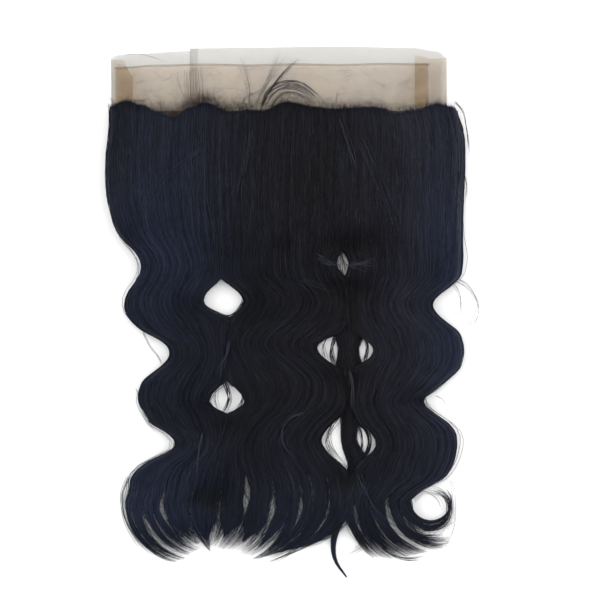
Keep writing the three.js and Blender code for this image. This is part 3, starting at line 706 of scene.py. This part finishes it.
# loose hairs, each group along a path of points in the photo: heights in mm at both ends, how many, how far they
# stray in mm, how thick in mm and how light
looseHairs = {
    "sweepRight": (((262, 106), (272, 88), (286, 71), (303, 55)), (15, 16), 10, 2.6, 0.13, 0.2),
    "sweepUpright": (((256, 105), (266, 84), (276, 66), (286, 54)), (15, 16), 9, 3.4, 0.1, 0.3),
    "arcOver": (((262, 104), (268, 92), (282, 84), (300, 85), (313, 94), (321, 105)), (15, 16), 11, 2.2, 0.19, 0.2),
    "arcUnder": (((266, 106), (276, 92), (290, 88), (305, 92), (316, 104)), (15, 16), 6, 1.6, 0.17, 0.2),
    "arcMany": (((270, 108), (280, 96), (292, 93), (306, 98), (315, 108)), (15, 16), 9, 2.6, 0.12, 0.2),
    "archLeft": (((240, 106), (247, 97), (256, 92), (266, 90)), (15, 16), 5, 2.4, 0.1, 0.3),
    "shortRight": (((336, 104), (337, 96), (337, 91)), (15, 16), 2, 0.6, 0.15, 0.2),
    "uprightLeft": (((249, 105), (249, 88), (244, 68), (238, 50)), (15, 16), 7, 3.0, 0.08, 0.5),
    "leanLeft": (((184, 98), (180, 86), (177, 72), (174, 66)), (15, 16), 2, 1.6, 0.09, 0.5),
    "longOnLeft": (((126, 55), (140, 54), (155, 58), (168, 63)), (15, 15), 2, 0.8, 0.09, 0.5),
    "cornerLeft": (((118, 108), (112, 101), (108, 96)), (8, 6), 4, 1.6, 0.14, 0.2),
    "loopRight": (((455, 279), (468, 286), (478, 304), (474, 320), (461, 328)), (6, 3), 5, 2.2, 0.15, 0.2),
    "loopRightInner": (((452, 281), (460, 292), (461, 308), (458, 326)), (6, 3), 3, 1.6, 0.14, 0.2),
    "sideRightUpper": (((455, 102), (463, 112), (467, 132), (470, 156)), (9, 6), 4, 1.3, 0.17, 0.2),
    "sideRightLower": (((464, 172), (467, 186), (466, 206)), (9, 6), 3, 0.8, 0.15, 0.2),
    "sideLeftLoop": (((143, 332), (150, 346), (158, 356), (164, 366)), (5, 2), 3, 1.4, 0.15, 0.2),
    "sideLeftTuft": (((146, 404), (138, 396), (134, 386)), (4, 2), 3, 1.0, 0.14, 0.2),
    "sideLeftCurve": (((138, 392), (141, 406), (148, 420), (158, 432)), (4, 2), 4, 1.3, 0.15, 0.2),
    "neckLeft": (((178, 436), (176, 446), (168, 456)), (5, 2), 3, 1.2, 0.14, 0.2),
    "waistRight": (((424, 396), (427, 404), (432, 410)), (5, 3), 3, 1.2, 0.14, 0.2),
    "waistRightTip": (((436, 396), (442, 400), (447, 407)), (5, 3), 2, 1.0, 0.14, 0.2),
    "lobeLeftOuter": (((128, 478), (122, 496), (125, 520), (137, 542), (154, 558)), (4, 1), 7, 2.4, 0.17, 0.2),
    "lobeLeftLow": (((132, 510), (142, 534), (162, 552), (186, 560)), (3, 1), 6, 2.6, 0.15, 0.2),
    "lobeMiddleLow": (((318, 528), (300, 546), (284, 556), (262, 566)), (3, 1), 7, 2.6, 0.15, 0.2),
    "tipsRightLow": (((372, 536), (388, 554), (408, 560), (430, 556)), (3, 1), 8, 2.4, 0.17, 0.2),
    "tipsRightSweep": (((404, 508), (416, 532), (434, 545), (450, 542)), (3, 1), 9, 2.6, 0.17, 0.2),
    "hookBand": (((404, 496), (413, 518), (432, 530), (452, 519)), (3, 1), 12, 2.4, 0.26, 0.3),
    "lowerLock": (((388, 490), (397, 520), (415, 536), (446, 537)), (3, 1), 12, 2.2, 0.26, 0.3),
    "hookRing": (((410, 500), (414, 520), (430, 529), (446, 521), (450, 505), (443, 494), (428, 491)), (3, 1),
                 15, 2.0, 0.26, 0.3),
    "eyeInHook": (((414, 502), (424, 493), (438, 499), (443, 513)), (2, 1), 4, 3.0, 0.1, 0.3),
    "tailLoop": (((350, 508), (362, 528), (362, 546), (338, 560)), (2, 1), 5, 2.4, 0.13, 0.3),
    "middleArc": (((334, 506), (322, 536), (294, 552), (262, 563)), (3, 1), 6, 3.0, 0.2, 0.3),
    "tipsRightOut": (((452, 482), (456, 500), (455, 528), (446, 550)), (2, 1), 3, 1.8, 0.09, 0.4),
    "acrossDiamond": (((202, 304), (213, 311), (229, 316), (241, 305), (245, 292)), (4, 4), 7, 1.3, 0.24, 0.3),
    "diamondTop": (((205, 290), (212, 281), (222, 279)), (4, 4), 3, 1.2, 0.2, 0.3),
    "diamondRight": (((234, 283), (242, 292), (242, 304), (234, 314)), (4, 4), 6, 1.2, 0.26, 0.3),
    "acrossSlit": (((339, 246), (341, 256), (344, 268), (347, 284)), (6, 6), 7, 2.8, 0.15, 0.8),
    "acrossLensLeft": (((337, 330), (332, 344), (332, 356), (338, 372)), (4, 4), 10, 1.6, 0.28, 0.4),
    "acrossLensFar": (((318, 340), (316, 350), (324, 364)), (4, 4), 5, 1.2, 0.2, 0.3),
    "acrossLensThin": (((330, 332), (323, 346), (326, 362)), (4, 4), 5, 2.0, 0.15, 0.3),
    "acrossLensRight": (((361, 330), (367, 343), (367, 354), (361, 370)), (4, 4), 9, 1.8, 0.27, 0.4),
    "acrossDrop": (((221, 372), (227, 388), (229, 402), (221, 420)), (4, 4), 10, 1.6, 0.27, 0.4),
    "acrossDropRight": (((228, 374), (240, 390), (242, 402), (230, 418)), (4, 4), 6, 1.6, 0.22, 0.4),
    "acrossDropLeft": (((224, 372), (217, 388), (215, 400), (219, 416)), (4, 4), 4, 1.6, 0.16, 0.4),
    "acrossCrescent": (((345, 410), (331, 428), (330, 446), (348, 470)), (4, 4), 9, 2.2, 0.19, 0.3),
    "crescentEdge": (((345, 412), (325, 430), (322, 446), (342, 470)), (4, 4), 7, 1.3, 0.24, 0.3),
    "eyeRing": (((352, 420), (365, 429), (369, 442), (365, 456), (352, 466)), (4, 4), 14, 1.4, 0.32, 0.3),
    "eyeBar": (((357, 424), (361, 434), (362, 448), (357, 460)), (4, 4), 6, 1.8, 0.24, 0.5),
}
# strands drawn lighter on top of the hair, as painted highlights where it catches the light, in the same form
glints = {
    "topFan": (((340, 118), (346, 138), (352, 158), (357, 180)), None, 7, 3.4, 0.2, 0.8),
    "leftSlant": (((203, 148), (180, 166), (162, 182), (150, 200)), None, 6, 5.0, 0.2, 0.55),
    "rightFan": (((360, 140), (374, 175), (390, 215), (404, 252)), None, 9, 5.0, 0.19, 0.6),
    "middleDown": (((250, 130), (246, 160), (238, 190), (236, 215)), None, 7, 4.5, 0.19, 0.55),
    "leftDown": (((206, 170), (204, 190), (206, 212), (210, 232)), None, 7, 4.0, 0.2, 0.6),
    "slitBarLeft": (((318, 256), (328, 263), (340, 264)), None, 12, 3.4, 0.2, 0.8),
    "slitBarRight": (((350, 265), (362, 264), (380, 259)), None, 14, 3.4, 0.2, 0.8),
    "waveHook": (((303, 413), (290, 418), (282, 430), (284, 446), (297, 460)), None, 4, 0.8, 0.24, 1.0),
    "leftOfDrop": (((229, 342), (227, 352), (221, 364), (217, 376)), None, 6, 1.6, 0.22, 1.0),
    "heartDown": (((202, 434), (198, 456), (195, 482)), None, 6, 1.6, 0.22, 0.9),
    "lockDown": (((350, 372), (353, 386), (354, 410)), None, 6, 2.0, 0.22, 1.0),
    "underLens": (((300, 280), (316, 286), (334, 292)), None, 5, 2.4, 0.20, 0.6),
    "tipsRight": (((358, 474), (366, 492), (378, 512), (398, 530)), None, 5, 3.0, 0.2, 0.7),
}
loosePoints = 22


def hairTop(x, y):  # how high the front hair stands
    swell = smooth(-y + hair["rise"], 0, hair["swell"])
    return frontSeat(x, -y) + lerp(hair["edge"], hair["front"], swell) - relief["hollow"] * hollowAndShadeAt(x, y) * swell


def looseTracks(groups):
    rng = np.random.default_rng(5)
    t = np.linspace(0, 1, loosePoints)
    paths, thick, tone = [], [], []
    for path, heights, count, stray, radius, light in groups.values():
        base = catmull(fromPhoto(path), t)
        for _ in range(count):
            start, stop = rng.normal(0, 0.45 * stray, 2), rng.normal(0, 0.8 * stray, 2)
            bow = rng.normal(0, 0.35 * stray, 2)[None] * np.sin(np.pi * t * rng.integers(1, 3))[:, None]
            spots = base + lerp(start[None], stop[None], t[:, None]) + bow
            long = rng.uniform(0.8, 1)
            spots = np.stack([np.interp(t * long, t, spots[:, k]) for k in (0, 1)], -1)
            z = hairTop(*spots.T) + 0.2 if heights is None else lerp(*heights, t)
            z = z + rng.uniform(-0.5, 0.8)
            paths.append(place(spots[:, 0], spots[:, 1], np.maximum(z, 0.3)))
            thick.append(radius * rng.uniform(0.8, 1.2) * np.clip(1.3 * (1 - t**6), 0.15, 1))
            tone.append(light)
    return np.array(paths), np.array(thick), np.array(tone)


finish(addStrands("hairLoose", *looseTracks(looseHairs), strandMaterial))
finish(addStrands("hairGlints", *looseTracks(glints), glintMaterial))

# short hairs along the hairline, thickest in brown tufts: place in the photo, how many, spread and length in mm
hairlineTufts = {"gather": (196, 330, 15, 12), "leftDip": (170, 260, 18, 12), "leftOfMiddle": (230, 330, 20, 12),
                 "middle": (290, 220, 34, 8), "rightOfMiddle": (350, 220, 30, 8), "rightDip": (398, 150, 18, 8),
                 "right": (432, 60, 16, 6), "left": (130, 50, 16, 6)}
fuzz = {"points": 7, "spread": 0.7, "height": 14.6, "arch": 1.6, "thick": 0.085}

# fine new growth along the hairline: the same hair, thinner and browner
fuzzMaterial, fuzzTree, fuzzShader = newMaterial("fineBrownHair", {"Roughness": 0.5, "Specular IOR Level": 0.2})
fuzzTone = addNode(fuzzTree, "Attribute", attribute_name="tone").outputs["Fac"]
fuzzMix = addNode(fuzzTree, "Mix", {0: fuzzTone, 6: toLinear("#1A120E"), 7: toLinear("#4A3527")},
                  data_type="RGBA")
fuzzTree.links.new(fuzzMix.outputs[2], fuzzShader.inputs["Base Color"])


def hairlineFuzz():
    rng = np.random.default_rng(9)
    t = np.linspace(0, 1, fuzz["points"])
    paths = []
    for across, count, spread, long in hairlineTufts.values():
        (middle, _), = fromPhoto([(across, 0)])
        x = middle + rng.normal(0, spread * fuzz["spread"], count)
        y = eased(x / hair["half"], hairlineAcross, hairlineHigh) + rng.uniform(-2.5, 1.2, count)
        heading = rng.normal(np.pi / 2, 1.0, count)
        curve = rng.normal(0, 1.4, count)
        reach = long * rng.uniform(0.4, 1.2, count)
        angle = heading[:, None] + curve[:, None] * t[None]
        step = reach[:, None] / (len(t) - 1)
        alongX = x[:, None] + np.cumsum(step * np.cos(angle), 1)
        alongY = y[:, None] + np.cumsum(step * np.sin(angle), 1)
        paths.append(place(alongX, alongY, fuzz["height"] + fuzz["arch"] * np.sin(np.pi * t)[None] + 0 * alongX))
    paths = np.concatenate(paths)
    thick = fuzz["thick"] * np.clip(1.2 - t, 0.2, 1)[None]
    return addStrands("hairlineFuzz", paths, thick, rng.random(len(paths)), fuzzMaterial)


finish(hairlineFuzz())
print("loose hairs done")

# Swiss lace: a net of fine nylon, matt and half see-through, so each layer over another looks darker and browner
laceLook = {
    "pale": {"base": "#A6A29A", "thin": "#AEABA4", "alpha": 0.25},
    "tan": {"base": "#8C6618", "thin": "#C89F60", "alpha": 0.108},
    "fold": {"base": "#8C6A24", "thin": "#A88350", "alpha": 0.13},
    # the flap under the front panel is drawn paler and greyer than the fold, as painted light that lifts the shade the
    # panel casts on it
    "under": {"base": "#998B7E", "thin": "#A99C90", "alpha": 0.31},
    "turn": {"base": "#85785F", "thin": "#8F826A", "alpha": 0.2},
    "hem": {"base": "#7B6238", "thin": "#7B6238", "alpha": 0.27},
    "seam": {"base": "#96918A", "thin": "#9C9790", "alpha": 0.3},
}
# the front edge of each strip, as heights that are shares of its full rise
laceEdges = {
    "front": ((0, 0.14, 0.28, 0.42, 0.56, 0.72, 0.86, 1), (0.9, 0.96, 0.985, 0.965, 0.99, 0.975, 1, 0.99)),
    "right": ((0, 0.06, 0.13, 0.17, 0.25, 0.5, 0.8, 1), (0.83, 0.77, 0.8, 0.92, 0.975, 1, 0.98, 0.965)),
    "left": ((0, 0.06, 0.2, 0.33, 0.45, 1), (0.6, 0.75, 0.76, 0.85, 0.87, 0.92)),
}
lace = {"rows": 44, "step": 2.2, "thick": 0.3, "crease": 0.16, "puckers": 16, "bare": 0.78, "hemRows": 2.5,
        "flapRound": 3.8, "cornerTall": 0.26, "frontCover": 0.96, "touch": 0.2}


def laceMaterial(name, look):
    material, tree, shader = newMaterial(name, {"Roughness": 0.85, "Specular IOR Level": 0.1, "Alpha": look["alpha"]})
    where = addNode(tree, "TexCoord").outputs["Object"]
    # cloudy patches about 10 mm wide, where the net lies looser
    cloudy = addNode(tree, "TexNoise", {"Vector": where, "Scale": 90, "Detail": 5, "Distortion": 0.5})
    patches = addNode(tree, "MapRange", {0: cloudy.outputs[0], 1: 0.3, 2: 0.75})
    net = addNode(tree, "TexVoronoi", {"Vector": where, "Scale": 1200})  # 0.8 mm mesh
    pair = {6: toLinear(look["base"]), 7: toLinear(look["thin"])}
    tone = addNode(tree, "Mix", {0: patches.outputs[0], **pair}, data_type="RGBA")
    tree.links.new(tone.outputs[2], shader.inputs["Base Color"])
    bump = addNode(tree, "Bump", {"Height": net.outputs[0], "Strength": 0.3, "Distance": 0.0002})
    tree.links.new(bump.outputs[0], shader.inputs["Normal"])
    return material


laceLayers = {kind: laceMaterial("swissLace" + kind.title(), look) for kind, look in laceLook.items()}


def layLace(piece, kinds, run, v, x, normalX, normalZ, level, lift, rise, seed):
    down = np.where(v < lace["bare"], (v / lace["bare"] - 1) * rise,
                    (v - lace["bare"]) / (1 - lace["bare"]) * loop["tail"])
    bare = smooth(-down, 0, loop["frontRise"])
    rng = np.random.default_rng(seed)
    crease = 0
    for _ in range(lace["puckers"]):  # soft ones, that run down the cloth
        turns = run * rng.uniform(0.12, 0.7) + down * rng.uniform(-0.12, 0.12) + rng.uniform(0, 6.3)
        crease = crease + np.sin(turns) / 4
    ripple = loop["ripple"] * np.sin(2 * np.pi * x / loop["rippleLength"]) * bare * level
    z = backWallFoot(down) + loop["wall"] / 2 + level * (loop["wall"] + loop["gap"]) + lift + ripple
    z = z + normalZ * lace["crease"] * crease * (0.3 + 0.7 * bare)
    setPoints(piece, place(x + normalX * lace["crease"] * crease, -down, z))
    for layer in laceLayers.values():
        piece.data.materials.append(layer)
    for face in piece.data.polygons:
        face.material_index = list(laceLayers).index(kinds[face.vertices[0]])
    selectOnly(piece)
    wall = piece.modifiers.new("wall", "SOLIDIFY")
    wall.thickness = lace["thick"] * mm
    wall.offset = 0
    bpy.ops.object.modifier_apply(modifier="wall")
    return piece


def frontLace():
    piece, u, v, _ = addGrid("laceFrontPanel", 130, lace["rows"])
    x = lerp(loop["frontLeft"], loop["frontRight"], u)
    rise = loop["frontRise"] * eased(u, *laceEdges["front"])
    kinds = np.where(v * lace["rows"] < lace["hemRows"], "hem", "tan")
    return layLace(piece, kinds, x, v, x, 0, 1, 1 + 0 * x, loop["wall"] + loop["fit"], rise, 14)


def wrapLace(name, side, flap, backEnd, edge, endLift, seed):
    radius = (loop["wall"] + loop["gap"]) / 2
    centre = loopHalf - loop["wall"] / 2 - radius
    front, turn, back = flap - radius, math.pi * radius, centre - backEnd
    total = front + turn + back
    piece, u, v, _ = addGrid(name, round(total / lace["step"]), lace["rows"])
    share = u if side > 0 else 1 - u
    run = share * total
    angle = np.pi / 2 - np.pi * np.clip((run - front) / turn, 0, 1)
    past = np.maximum(run - front - turn, 0)
    reach = np.where(run < front, loopHalf - flap + run, centre + radius * np.cos(angle) - past)
    corner = lace["flapRound"] * (side < 0) * (1 - smooth(v / lace["bare"], 0, lace["cornerTall"]))
    reach = reach + corner * np.clip(1 - run / front, 0, 1)
    level = (1 + np.sin(angle)) / 2
    nearSeam = smooth(backEnd + 3 * loop["seamLap"] - reach, 0, 2 * loop["seamLap"])
    lift = np.where(run > front + turn, endLift * nearSeam, 0)
    rise = loop["backRise"] * eased(share, *laceEdges[edge])
    kinds = np.where(level > 0.5, "fold", "pale").astype(object)
    kinds[(level > 0.5) & (side < 0) & (run > front)] = "turn"
    # the flap under the front panel gets the paler look: painted light against the panel's shade
    kinds[(run < front) & ((1 - v / lace["bare"]) * rise < loop["frontRise"] * lace["frontCover"])
          & (reach < np.where(side < 0, -loop["frontLeft"], loop["frontRight"]))] = "under"
    kinds[(level < 0.1) & (side * reach < loop["seam"] + loop["seamLap"] / 2)] = "seam" if side > 0 else "pale"
    return layLace(piece, kinds, run, v, side * reach, side * np.cos(angle), np.sin(angle), level, lift, rise,
                   seed)


finish(frontLace(), "lace_front")
# the left strip stops where the right one starts, because a third see-through layer would look too dark
seamEnd = loop["seam"] - loop["seamLap"] / 2
seamLift = loop["wall"] + loop["fit"]
finish(wrapLace("laceBackRight", 1, loop["rightFlap"], seamEnd, "right", 0, 13), "lace_back_right")
finish(wrapLace("laceBackLeft", -1, loop["leftFlap"], -seamEnd - lace["touch"], "left", seamLift, 12),
       "lace_back_left")

# loose threads and stray hairs in the net, and the fine gathers beside the seam, all drawn a little too thick
laceThreads = {"arcs": 120, "gathers": 15, "height": 14.0, "arcThick": 0.09, "gatherThick": 0.11, "points": 12,
               "tone": 0.8}


def threadTracks():
    rng = np.random.default_rng(21)
    t = np.linspace(0, 1, laceThreads["points"])
    arcs = laceThreads["arcs"]
    (left, top), (right, low) = fromPhoto([(122, 68), (424, 104)])
    heading = rng.uniform(0, 2 * np.pi, (arcs, 1)) + rng.normal(0, 2.2, (arcs, 1)) * t
    step = rng.uniform(6, 26, (arcs, 1)) / len(t)
    x = rng.uniform(left, right, (arcs, 1)) + np.cumsum(step * np.cos(heading), 1)
    y = rng.uniform(low, top, (arcs, 1)) + 0.6 * np.cumsum(step * np.sin(heading), 1)
    (gatherLeft, high), (gatherRight, foot) = fromPhoto([(185, 66), (203, 102)])
    across = np.linspace(gatherLeft, gatherRight, laceThreads["gathers"])[:, None]
    x = np.concatenate([x, across + 0.5 * np.sin(9 * across + 4 * t)])
    y = np.concatenate([np.clip(y, low, top), lerp(high - rng.uniform(0, 6, across.shape), foot, t)])
    return place(x, y, laceThreads["height"])


threads = threadTracks()
threadThick = np.repeat((laceThreads["arcThick"], laceThreads["gatherThick"]),
                        (laceThreads["arcs"], laceThreads["gathers"]))[:, None]
finish(addStrands("laceThreads", threads, threadThick, np.full(len(threads), laceThreads["tone"]), fuzzMaterial))
bpy.data.objects.remove(profile)
print("lace done")

# a pale table, the camera straight above it, and soft light from all round
stage = {"lens": 200, "sensor": 36, "height": 2.845, "far": 20, "room": 1.0, "table": "#F4F4F4",
         "sides": 10, "sideSpot": (1.3, 0.3, 1.2), "sideSize": (0.9, 1.4),
         "top": 12, "topSpot": (0, 0.5, 2.2), "topSize": (1.6, 1.2), "topTilt": -0.22}
bpy.ops.object.select_all(action="DESELECT")
bpy.ops.mesh.primitive_plane_add(size=6, location=(0, 0, -0.0005))
table = bpy.context.object
table.name = "table"
tableMaterial, _, tableShader = newMaterial("paleTable", {"Roughness": 0.9, "Specular IOR Level": 0.1})
tableShader.inputs["Base Color"].default_value = toLinear(stage["table"])
table.data.materials.append(tableMaterial)

(viewX, viewY), = fromPhoto([photo["centre"]])
viewSpot = ((viewX + loopMid) * mm, (viewY + hairlineY) * mm, stage["height"])
bpy.ops.object.camera_add(location=viewSpot, rotation=(0, 0, 0))
camera = bpy.context.object
camera.data.lens = stage["lens"]
camera.data.sensor_width = stage["sensor"]
camera.data.clip_end = stage["far"]
bpy.context.scene.camera = camera


def softbox(name, spot, tilt, size, power):
    bpy.ops.object.light_add(type="AREA", location=spot, rotation=tilt)
    lamp = bpy.context.object
    lamp.name = name
    lamp.data.shape = "RECTANGLE"
    lamp.data.size, lamp.data.size_y = size
    lamp.data.energy = power


sideX, sideY, sideZ = stage["sideSpot"]
sideTilt = math.atan2(sideX, sideZ)
for name, side in (("softboxLeft", -1), ("softboxRight", 1)):
    softbox(name, (side * sideX, sideY, sideZ), (0, side * sideTilt, 0), stage["sideSize"], stage["sides"])
softbox("softboxTop", stage["topSpot"], (stage["topTilt"], 0, 0), stage["topSize"], stage["top"])
world = bpy.data.worlds.new("room")
world.use_nodes = True
world.node_tree.nodes["Background"].inputs[0].default_value = (1, 1, 1, 1)
world.node_tree.nodes["Background"].inputs[1].default_value = stage["room"]
bpy.context.scene.world = world
bpy.context.scene.view_settings.view_transform = "Standard"
print("camera and light done")

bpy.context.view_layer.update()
triangles = [sum(len(face.vertices) - 2 for face in piece.data.polygons) for piece in shown.values()]
print("triangles in all", sum(triangles), "most in one piece", max(triangles))
